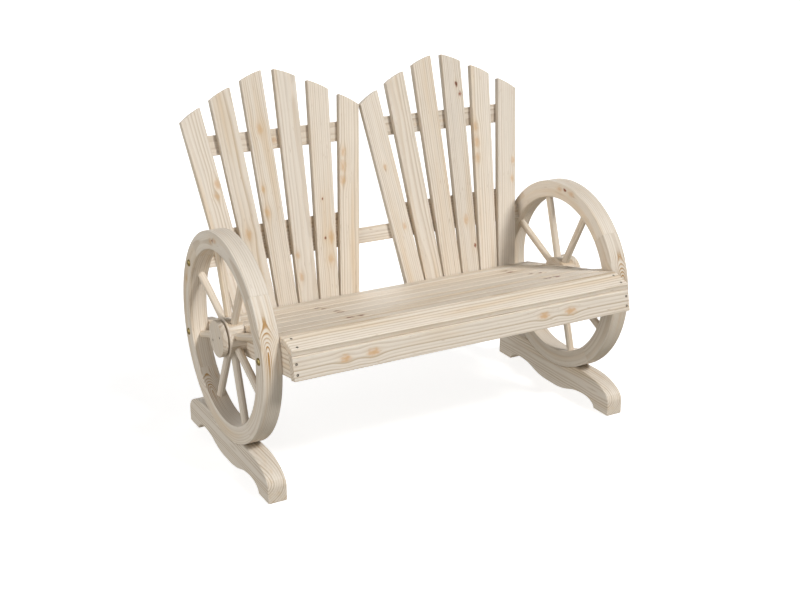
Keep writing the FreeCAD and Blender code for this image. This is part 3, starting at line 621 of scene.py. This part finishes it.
for side in ("left", "right"):
    low, high = rimPlace(side)
    axle = (low + high) / 2
    outer = (high.z - low.z) / 2
    inner = outer - wheel["rimWidthMm"] / 1000
    midway = (inner + outer) / 2
    section = roundedSection((inner, low.x), (outer, high.x), wheel["edgeMm"] / 1000, wheel["edgeSteps"])
    for number, part in enumerate(wheel["order"]):
        nodeName = side + "_rim_" + part
        mesh = bmesh.new()
        start = wheel["firstJoint"] + 90 * number
        gap = math.degrees(wheel["jointMm"] / 1000 / outer)
        rows = []
        for step in range(wheel["steps"] + 1):
            turn = math.radians(start + gap + (90 - 2 * gap) * step / wheel["steps"])
            # Both ends are eased, so the joint reads as a fine line
            shrink = wheel["easedMm"] / 1000 if step in (0, wheel["steps"]) else 0.0
            ring = []
            for radius, x in section:
                eased = radius + (shrink if radius < midway else -shrink)
                moved = x + (shrink if x < axle.x else -shrink)
                spot = (moved, axle.y - math.cos(turn) * eased, axle.z + math.sin(turn) * eased)
                ring.append(mesh.verts.new(spot))
            rows.append(ring)
        count = len(section)
        for first, second in zip(rows, rows[1:]):
            for index in range(count):
                after = (index + 1) % count
                mesh.faces.new((first[index], first[after], second[after], second[index]))
        mesh.faces.new(rows[0])
        mesh.faces.new(rows[-1])
        bmesh.ops.recalc_face_normals(mesh, faces=mesh.faces)
        for face in mesh.faces:
            face.smooth = True
        piece = objectFrom(mesh, pieceName(nodeName))
        piece.data.set_sharp_from_angle(angle=math.radians(wheel["shadeDegrees"]))
        dice = random.Random(nodeName)
        pithOut = dice.uniform(-1, 1) * wheel["pithMm"][0]
        pith = (pithOut, dice.uniform(*wheel["pithShare"]) * wheel["pithMm"][1])
        lies, figure = start + 45, None
        if part in flames:
            flame = flames[part]
            lies = flame["middle"]
            facing = 1 if flame["face"] == "outer" else -1
            figure = {
                "points": flame["points"], "length": arrowheads["lengthMm"] / 1000,
                "depth": facing * arrowheads["depthMm"] / 1000, "squeeze": arrowheads["squeeze"],
            }
            aside = math.copysign(flame["asideMm"], axle.x) * arrowheads["squeeze"]
            pith = (facing * (wheel["rimWidthMm"] / 2 - arrowheads["pithUnderMm"]), aside)
        place = bentGrain(axle, midway, math.radians(lies), figure)
        giveGrain(piece, place, pith, nodeName, rimKnots.get(nodeName, ()))
        if figure:
            # The figure fades at its point and along its tail, and shows on one face only
            layer = piece.data.attributes.new("figure", "FLOAT", "POINT")
            for vert, entry in zip(piece.data.vertices, layer.data):
                ahead = place(vert.co)[0] * figure["points"]
                pastPoint = max(ahead - figure["length"] / 2, 0.0) * 1000 / arrowheads["pointMm"]
                pastTail = max(-ahead - figure["length"] / 2, 0.0) * 1000 / arrowheads["tailMm"]
                out = math.hypot(vert.co.y - axle.y, vert.co.z - axle.z) - midway
                entry.value = math.exp(-(pastPoint + pastTail) ** 2) if out * facing > 0 else 0.0
        keep(piece, sandedFir, "wheel_fir", nodeName)
print("rims made")

# Spokes: a ring of turned rods, laid out by a node tree
spokes = {
    "count": 8, "turn": 17.5, "radiusMm": 10.0, "innerMm": 49.5, "outerIntoRimMm": 1.5,
    "sides": 32, "lengths": 12, "shadeDegrees": 40.0, "pithAwayMm": (34.0, 12.0),
    "leastTone": (0.95, 0.0, 0.0), "mostTone": (1.03, 0.2, 1.0), "seed": 7,
}


def newTree(name, inputs):
    tree = bpy.data.node_groups.new(name, "GeometryNodeTree")
    tree.interface.new_socket("Geometry", in_out="INPUT", socket_type="NodeSocketGeometry")
    for label, kind in inputs.items():
        tree.interface.new_socket(label, in_out="INPUT", socket_type="NodeSocket" + kind)
    tree.interface.new_socket("Geometry", in_out="OUTPUT", socket_type="NodeSocketGeometry")
    return tree, addNode(tree, "NodeGroupInput").node.outputs


def runTree(piece, tree, values):
    modifier = piece.modifiers.new(tree.name, "NODES")
    modifier.node_group = tree
    for item in tree.interface.items_tree:
        if item.in_out == "INPUT" and item.name in values:
            modifier[item.identifier] = values[item.name]
    settle(piece)


def spokeTree():
    tree, given = newTree("spokeRing", {
        "Count": "Int", "Turn": "Float", "Radius": "Float", "Inner": "Float", "Outer": "Float",
        "Sides": "Int", "Axle": "Vector", "Seed": "Int", "Wood": "Material"})
    index = addNode(tree, "GeometryNodeInputIndex")
    share = addNode(tree, maths, "DIVIDE", (index, given["Count"]))
    around = addNode(tree, maths, "MULTIPLY", (share, math.tau))
    angle = addNode(tree, maths, "ADD", (around, given["Turn"]))
    cosine = addNode(tree, maths, "COSINE", (angle,))
    sine = addNode(tree, maths, "SINE", (angle,))
    back = addNode(tree, maths, "MULTIPLY", (cosine, -1.0))
    radial = addNode(tree, makeVector, None, (0.0, back, sine))
    total = addNode(tree, maths, "ADD", (given["Inner"], given["Outer"]))
    half = addNode(tree, maths, "MULTIPLY", (total, 0.5))
    reach = addNode(tree, vectorMaths, "SCALE", {0: radial, "Scale": half})
    place = addNode(tree, vectorMaths, "ADD", (reach, given["Axle"]))
    points = addNode(tree, "GeometryNodePoints", None, {"Count": given["Count"], "Position": place})
    length = addNode(tree, maths, "SUBTRACT", (given["Outer"], given["Inner"]))
    rod = addNode(tree, "GeometryNodeMeshCylinder", None, {
        "Vertices": given["Sides"], "Side Segments": spokes["lengths"],
        "Radius": given["Radius"], "Depth": length})
    spot = addNode(tree, "GeometryNodeInputPosition")
    x, y, z = addNode(tree, splitVector, None, (spot,)).node.outputs
    aside = addNode(tree, maths, "ADD", (x, spokes["pithAwayMm"][0] / 1000))
    deep = addNode(tree, maths, "ADD", (y, spokes["pithAwayMm"][1] / 1000))
    grain = addNode(tree, makeVector, None, (z, aside, deep))
    stored = {"data_type": "FLOAT_VECTOR", "domain": "POINT"}
    rod = addNode(tree, "GeometryNodeStoreNamedAttribute", stored,
                  {"Geometry": rod, "Name": "grain", "Value": grain})
    rod = addNode(tree, "GeometryNodeSetShadeSmooth", None, {"Geometry": rod, "Shade Smooth": True})
    facing = addNode(tree, "FunctionNodeAlignRotationToVector", {"axis": "Z"}, {"Vector": radial})
    ring = addNode(tree, "GeometryNodeInstanceOnPoints", None,
                   {"Points": points, "Instance": rod, "Rotation": facing})
    tone = addNode(tree, "FunctionNodeRandomValue", {"data_type": "FLOAT_VECTOR"},
                   {0: spokes["leastTone"], 1: spokes["mostTone"], "Seed": given["Seed"]})
    ring = addNode(tree, "GeometryNodeStoreNamedAttribute", dict(stored, domain="INSTANCE"),
                   {"Geometry": ring, "Name": "tone", "Value": tone})
    whole = addNode(tree, "GeometryNodeRealizeInstances", None, {"Geometry": ring})
    done = addNode(tree, "GeometryNodeSetMaterial", None, {"Geometry": whole, "Material": given["Wood"]})
    addNode(tree, "NodeGroupOutput", None, (done,))
    return tree


ringTree = spokeTree()
for side in ("left", "right"):
    low, high = rimPlace(side)
    axle = (low + high) / 2
    rimRadius = (high.z - low.z) / 2
    boxLow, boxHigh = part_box(side + "_spokes")
    piece = newObject(side + "Spokes", bpy.data.meshes.new(side + "Spokes"))
    runTree(piece, ringTree, {
        "Count": spokes["count"], "Turn": math.radians(spokes["turn"]), "Radius": spokes["radiusMm"] / 1000,
        "Inner": spokes["innerMm"] / 1000,
        "Outer": rimRadius - (wheel["rimWidthMm"] - spokes["outerIntoRimMm"]) / 1000,
        "Sides": spokes["sides"], "Axle": ((boxLow.x + boxHigh.x) / 2, axle.y, axle.z),
        "Seed": spokes["seed"] + len(side), "Wood": sandedFir})
    piece.data.set_sharp_from_angle(angle=math.radians(spokes["shadeDegrees"]))
    writeKnots(piece.data)
    keep(piece, sandedFir, "wheel_fir", side + "_spokes")
print("spokes made")

# Hubs, their caps and the feet; edges inside the hub, at its sockets and at the foot's screws stay sharp
hubLook = {
    "edgeMm": 1.2, "shortestMm": 1.0, "pithMm": (30, -60),
    "shellMm": 42.0, "socketMm": 9.5, "socketEdgeMm": 5.0,
}
capLook = {"edgeMm": 1.6, "shortestMm": 2.2, "grainRise": (0.45, 0.9), "pithMm": (30, -50)}
footLook = {"edgeMm": 2.8, "shortestMm": 0.8, "screwMm": 7.0, "pithMm": (8, -40)}
xWay, yWay, zWay = Vector((1, 0, 0)), Vector((0, 1, 0)), Vector((0, 0, 1))


def nearSocket(edge, axle):
    middle = (edge.verts[0].co + edge.verts[1].co) / 2
    flat = Vector((0, middle.y - axle.y, middle.z - axle.z))
    if flat.length < hubLook["shellMm"] / 1000:
        return True
    for number in range(spokes["count"]):
        turn = math.radians(spokes["turn"] + 360 * number / spokes["count"])
        radial = Vector((0, -math.cos(turn), math.sin(turn)))
        ahead = flat.dot(radial)
        if ahead > 0 and (flat - radial * ahead).length < hubLook["socketMm"] / 1000:
            if edge.calc_length() > hubLook["socketEdgeMm"] / 1000:
                return True
    return False


def nearScrew(edge, places):
    middle = (edge.verts[0].co + edge.verts[1].co) / 2
    away = [(middle.xy - head.xy).length for head, way, length in places]
    return min(away) < footLook["screwMm"] / 1000


for side in ("left", "right"):
    low, high = rimPlace(side)
    axle = (low + high) / 2
    nodeName = side + "_hub"
    piece = objectFrom(mergedCopy(nodeName), side + "Hub")
    roundEdges(piece, hubLook["edgeMm"], hubLook["shortestMm"], lambda edge: nearSocket(edge, axle))
    giveGrain(piece, straightGrain(axle, xWay, yWay, zWay), hubLook["pithMm"], nodeName)
    keep(piece, sandedFir, "wheel_fir", nodeName)

    nodeName = side + "_hub_cap"
    piece = objectFrom(hullOf(nodeName), side + "HubCap")
    cutPockets(piece, screwSets["hub_cap_screws"])
    roundEdges(piece, capLook["edgeMm"], capLook["shortestMm"])
    level, rise = capLook["grainRise"]
    along, across = Vector((0, level, rise)).normalized(), Vector((0, rise, -level)).normalized()
    giveGrain(piece, straightGrain(axle, along, across, xWay), capLook["pithMm"], nodeName)
    keep(piece, sandedFir, "wheel_fir", nodeName)

    nodeName = side + "_foot"
    piece = objectFrom(mergedCopy(nodeName), side + "Foot")
    footScrews = [place for place in screwSets["foot_screws"] if place[0].x * axle.x > 0]
    roundEdges(piece, footLook["edgeMm"], footLook["shortestMm"], lambda edge: nearScrew(edge, footScrews))
    footLow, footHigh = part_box(nodeName)
    giveGrain(piece, straightGrain((footLow + footHigh) / 2, yWay, zWay, xWay), footLook["pithMm"], nodeName)
    keep(piece, sawnFir, "foot_fir", nodeName)
print("hubs and feet made")

# Fasteners: one tree for screw heads, one for domed bolts; each point carries the way its head faces
widestSpin = 3.14       # radians; heads are turned by chance up to this


def pointsObject(name, places):
    data = bpy.data.meshes.new(name)
    data.from_pydata([tuple(head) for head, way, length in places], [], [])
    layer = data.attributes.new("way", "FLOAT_VECTOR", "POINT")
    layer.data.foreach_set("vector", [value for head, way, length in places for value in way])
    return newObject(name, data)


def placeHeads(tree, given, shape):
    way = addNode(tree, "GeometryNodeInputNamedAttribute", {"data_type": "FLOAT_VECTOR"}, {"Name": "way"})
    facing = addNode(tree, "FunctionNodeAlignRotationToVector", {"axis": "Z"}, {"Vector": way})
    spin = addNode(tree, "FunctionNodeRandomValue", {"data_type": "FLOAT"},
                   {2: 0.0, 3: widestSpin, "Seed": given["Seed"]}, 1)
    spinVector = addNode(tree, makeVector, None, {2: spin})
    twist = addNode(tree, "FunctionNodeEulerToRotation", None, (spinVector,))
    turned = addNode(tree, "FunctionNodeRotateRotation", {"rotation_space": "LOCAL"}, (facing, twist))
    heads = addNode(tree, "GeometryNodeInstanceOnPoints", None,
                    {"Points": given["Geometry"], "Instance": shape, "Rotation": turned})
    whole = addNode(tree, "GeometryNodeRealizeInstances", None, {"Geometry": heads})
    done = addNode(tree, "GeometryNodeSetMaterial", None, {"Geometry": whole, "Material": given["Metal"]})
    addNode(tree, "NodeGroupOutput", None, (done,))


screws = {
    "sizesMm": {
        "HeadRadius": 3.3, "HeadHeight": 1.1, "SlotLength": 4.2, "SlotWidth": 0.9, "SlotDepth": 0.8,
        "ShankRadius": 2.2, "PointRadius": 0.8,
    },
    "headSides": 20, "shankSides": 10, "seed": 11,
}


def fastenerTree(name, sizes):
    inputs = {label: "Float" for label in sizes}
    return newTree(name, dict(inputs, Length="Float", Seed="Int", Metal="Material"))


def runFastener(piece, tree, look, length, metal):
    values = {label: size / 1000 for label, size in look["sizesMm"].items()}
    runTree(piece, tree, dict(values, Length=length, Seed=look["seed"], Metal=metal))


def screwTree():
    tree, given = fastenerTree("crossHeadScrew", screws["sizesMm"])
    halfHead = addNode(tree, maths, "MULTIPLY", (given["HeadHeight"], -0.5))
    headSpot = addNode(tree, makeVector, None, {2: halfHead})
    head = addNode(tree, "GeometryNodeMeshCylinder", None, {
        "Vertices": screws["headSides"], "Radius": given["HeadRadius"], "Depth": given["HeadHeight"]})
    head = addNode(tree, "GeometryNodeTransform", None, {"Geometry": head, "Translation": headSpot})
    # The cross is pressed into the head
    tall = addNode(tree, maths, "MULTIPLY", (given["SlotDepth"], 2.0))
    barOne = addNode(tree, makeVector, None, (given["SlotLength"], given["SlotWidth"], tall))
    barTwo = addNode(tree, makeVector, None, (given["SlotWidth"], given["SlotLength"], tall))
    slots = [addNode(tree, "GeometryNodeMeshCube", None, {"Size": bar}) for bar in (barOne, barTwo)]
    crossed = addNode(tree, "GeometryNodeMeshBoolean", {"operation": "DIFFERENCE", "solver": "EXACT"},
                      {"Mesh 1": head, "Mesh 2": slots})
    shank = addNode(tree, "GeometryNodeMeshCone", None, {
        "Vertices": screws["shankSides"], "Radius Top": given["ShankRadius"],
        "Radius Bottom": given["PointRadius"], "Depth": given["Length"]})
    drop = addNode(tree, maths, "ADD", (given["Length"], given["HeadHeight"]))
    fall = addNode(tree, maths, "MULTIPLY", (drop, -1.0))
    shankSpot = addNode(tree, makeVector, None, {2: fall})
    shank = addNode(tree, "GeometryNodeTransform", None, {"Geometry": shank, "Translation": shankSpot})
    placeHeads(tree, given, addNode(tree, "GeometryNodeJoinGeometry", None, ([crossed, shank],)))
    return tree


headTree = screwTree()
for nodeName, places in screwSets.items():
    piece = pointsObject(pieceName(nodeName), places)
    shankLength = places[0][2] - screws["sizesMm"]["HeadHeight"] / 1000
    runFastener(piece, headTree, screws, shankLength, zincSteel)
    keep(piece, zincSteel, "screw_steel", nodeName)
print("screws made")

bolts = {
    "sizesMm": {"HeadRadius": 9.6, "HeadHeight": 5.0, "BrimHeight": 1.0, "ShankRadius": 4.0},
    "headSides": 32, "rings": 16, "domeFrom": -0.01, "shankSides": 24, "seed": 5,
}


def boltTree():
    tree, given = fastenerTree("domedBolt", bolts["sizesMm"])
    ball = addNode(tree, "GeometryNodeMeshUVSphere", None, {
        "Segments": bolts["headSides"], "Rings": bolts["rings"], "Radius": 1.0})
    spot = addNode(tree, "GeometryNodeInputPosition")
    rise = addNode(tree, splitVector, None, (spot,), 2)
    below = addNode(tree, "FunctionNodeCompare", {"data_type": "FLOAT", "operation": "LESS_THAN"},
                    (rise, bolts["domeFrom"]))
    dome = addNode(tree, "GeometryNodeDeleteGeometry", {"domain": "POINT"},
                   {"Geometry": ball, "Selection": below})
    high = addNode(tree, maths, "SUBTRACT", (given["HeadHeight"], given["BrimHeight"]))
    size = addNode(tree, makeVector, None, (given["HeadRadius"], given["HeadRadius"], high))
    domeSpot = addNode(tree, makeVector, None, {2: given["BrimHeight"]})
    dome = addNode(tree, "GeometryNodeTransform", None,
                   {"Geometry": dome, "Translation": domeSpot, "Scale": size})
    dome = addNode(tree, "GeometryNodeSetShadeSmooth", None, {"Geometry": dome})
    # The brim stands on the wood, the shank goes into it
    shapes = [dome]
    for part, depth, share in (("head", "BrimHeight", 0.5), ("shank", "Length", -0.5)):
        radius = given[part.capitalize() + "Radius"]
        rod = addNode(tree, "GeometryNodeMeshCylinder", None, {
            "Vertices": bolts[part + "Sides"], "Radius": radius, "Depth": given[depth]})
        half = addNode(tree, maths, "MULTIPLY", (given[depth], share))
        rodSpot = addNode(tree, makeVector, None, {2: half})
        shapes.append(addNode(tree, "GeometryNodeTransform", None, {"Geometry": rod, "Translation": rodSpot}))
    placeHeads(tree, given, addNode(tree, "GeometryNodeJoinGeometry", None, (shapes,)))
    return tree


boltPlaces = []
for points in looseSolids("rim_bolts"):
    middle = [(min(p[i] for p in points) + max(p[i] for p in points)) / 2 for i in range(3)]
    low, high = rimPlace("left" if middle[0] < 0 else "right")
    face = low.x if middle[0] < 0 else high.x
    tip = min((p.x for p in points), key=abs)
    boltPlaces.append((Vector((face, middle[1], middle[2])), outward(Vector(middle)), abs(face - tip)))
piece = pointsObject("rimBolts", boltPlaces)
runFastener(piece, boltTree(), bolts, boltPlaces[0][2], yellowZinc)
keep(piece, yellowZinc, "bolt_zinc", "rim_bolts")

nutLook = {"edgeMm": 0.7, "shortestMm": 5.2}
for nodeName in ("rail_nuts", "long_rail_nuts"):
    piece = objectFrom(mergedCopy(nodeName), pieceName(nodeName))
    roundEdges(piece, nutLook["edgeMm"], nutLook["shortestMm"])
    keep(piece, yellowZinc, "bolt_zinc", nodeName)

tongueLook = {"edgeMm": 0.8, "shortestMm": 2.0, "pithMm": (30, -50)}
piece = objectFrom(mergedCopy("rim_tongues"), "rimTongues")
roundEdges(piece, tongueLook["edgeMm"], tongueLook["shortestMm"])
giveGrain(piece, straightGrain(Vector(), xWay, yWay, zWay), tongueLook["pithMm"], "rim_tongues")
keep(piece, sandedFir, "wheel_fir", "rim_tongues")
print("bolts, nuts and tongues made")

# Camera as in the photograph
photoCamera = {
    "place": (-1.5402, -2.7237, 1.4876), "target": (-0.02966, 0.0, 0.35683),
    "lensMm": 55.287, "sensorMm": 36.0,
}
camera = bpy.data.cameras.new("photoCamera")
camera.lens = photoCamera["lensMm"]
camera.sensor_width = photoCamera["sensorMm"]
cameraObject = newObject("photoCamera", camera)
cameraObject.location = photoCamera["place"]
lookWay = Vector(photoCamera["target"]) - Vector(photoCamera["place"])
cameraObject.rotation_euler = lookWay.to_track_quat("-Z", "Y").to_euler()
bpy.context.scene.camera = cameraObject

# Soft studio: a white paper sweep that lights nothing, a dim surround that is brightest at the horizon,
# one light from the front right, and broad ones from the left and from behind
studio = {
    "paper": "#BDBCBA", "paperGlow": 0.8, "paperRoughness": 0.9,
    "horizon": "#DADADA", "above": "#616161", "below": "#969289",
    "risen": (0.0, 0.3), "sunk": (-0.2, -0.01),     # heights between which the horizon's colour gives way
}
sweep = {
    "floorRadius": 18.0, "floorShares": (0.2, 0.5, 1.0), "bendRadius": 6.0, "wallHeight": 24.0,
    "bendSteps": 12, "sides": 72, "lower": 0.0005,
}
lights = {
    "mainLight": {"from": (0.30, -0.62, 0.72), "strength": 2.5, "spread": 11.0},
    "leftLight": {"from": (-1.0, -0.3, 0.3), "strength": 1.42, "spread": 60.0},
    "backLight": {"from": (0.4, 1.0, 0.12), "strength": 1.1, "spread": 50.0},
}
bpy.context.scene.view_settings.view_transform = "Standard"
profile = [(sweep["floorRadius"] * share, 0.0) for share in sweep["floorShares"]]
for step in range(1, sweep["bendSteps"] + 1):
    bend = math.radians(90 * step / sweep["bendSteps"])
    reach = sweep["floorRadius"] + sweep["bendRadius"] * math.sin(bend)
    profile.append((reach, sweep["bendRadius"] * (1 - math.cos(bend))))
profile.append((profile[-1][0], sweep["wallHeight"]))
paper = bmesh.new()
turns = [math.tau * side / sweep["sides"] for side in range(sweep["sides"])]
rings = []
for radius, rise in profile:
    level = rise - sweep["lower"]
    spots = [(radius * math.cos(turn), radius * math.sin(turn), level) for turn in turns]
    rings.append([paper.verts.new(spot) for spot in spots])
paper.faces.new(rings[0])
for first, second in zip(rings, rings[1:]):
    for side in range(sweep["sides"]):
        paper.faces.new((first[side - 1], second[side - 1], second[side], first[side]))
for face in paper.faces:
    face.smooth = True
floor = objectFrom(paper, "studioFloor")
floor.visible_diffuse = False
floor.visible_glossy = False
floor.visible_shadow = False
floorMaterial, floorTree = newMaterial("palePaper")
paperSurface = addNode(floorTree, "ShaderNodeBsdfPrincipled", None, {
    "Base Color": toLinear(studio["paper"]), "Roughness": studio["paperRoughness"],
    "Emission Color": (1.0, 1.0, 1.0, 1.0), "Emission Strength": studio["paperGlow"]})
addNode(floorTree, "ShaderNodeOutputMaterial", None, {"Surface": paperSurface})
floor.data.materials.append(floorMaterial)
world = bpy.data.worlds.new("paleStudio")
bpy.context.scene.world = world
world.use_nodes = True
sky = world.node_tree
sky.nodes.clear()
heading = addNode(sky, "ShaderNodeTexCoord", output="Generated")
upward = addNode(sky, splitVector, None, (heading,), 2)
rising = addNode(sky, mapRange, smooth, (upward, *studio["risen"], 0.0, 1.0))
sinking = addNode(sky, mapRange, smooth, (upward, *studio["sunk"], 1.0, 0.0))
upperMix = {0: rising, 6: toLinear(studio["horizon"]), 7: toLinear(studio["above"])}
upper = addNode(sky, mix, colours, upperMix, 2)
skyColour = addNode(sky, mix, colours, {0: sinking, 6: upper, 7: toLinear(studio["below"])}, 2)
glow = addNode(sky, "ShaderNodeBackground", None, {"Color": skyColour, "Strength": 1.0})
addNode(sky, "ShaderNodeOutputWorld", None, {"Surface": glow})
for name, light in lights.items():
    lamp = bpy.data.lights.new(name, "SUN")
    lamp.energy = light["strength"]
    lamp.angle = math.radians(light["spread"])
    newObject(name, lamp).rotation_euler = Vector(light["from"]).to_track_quat("Z", "Y").to_euler()
print("camera and studio set")
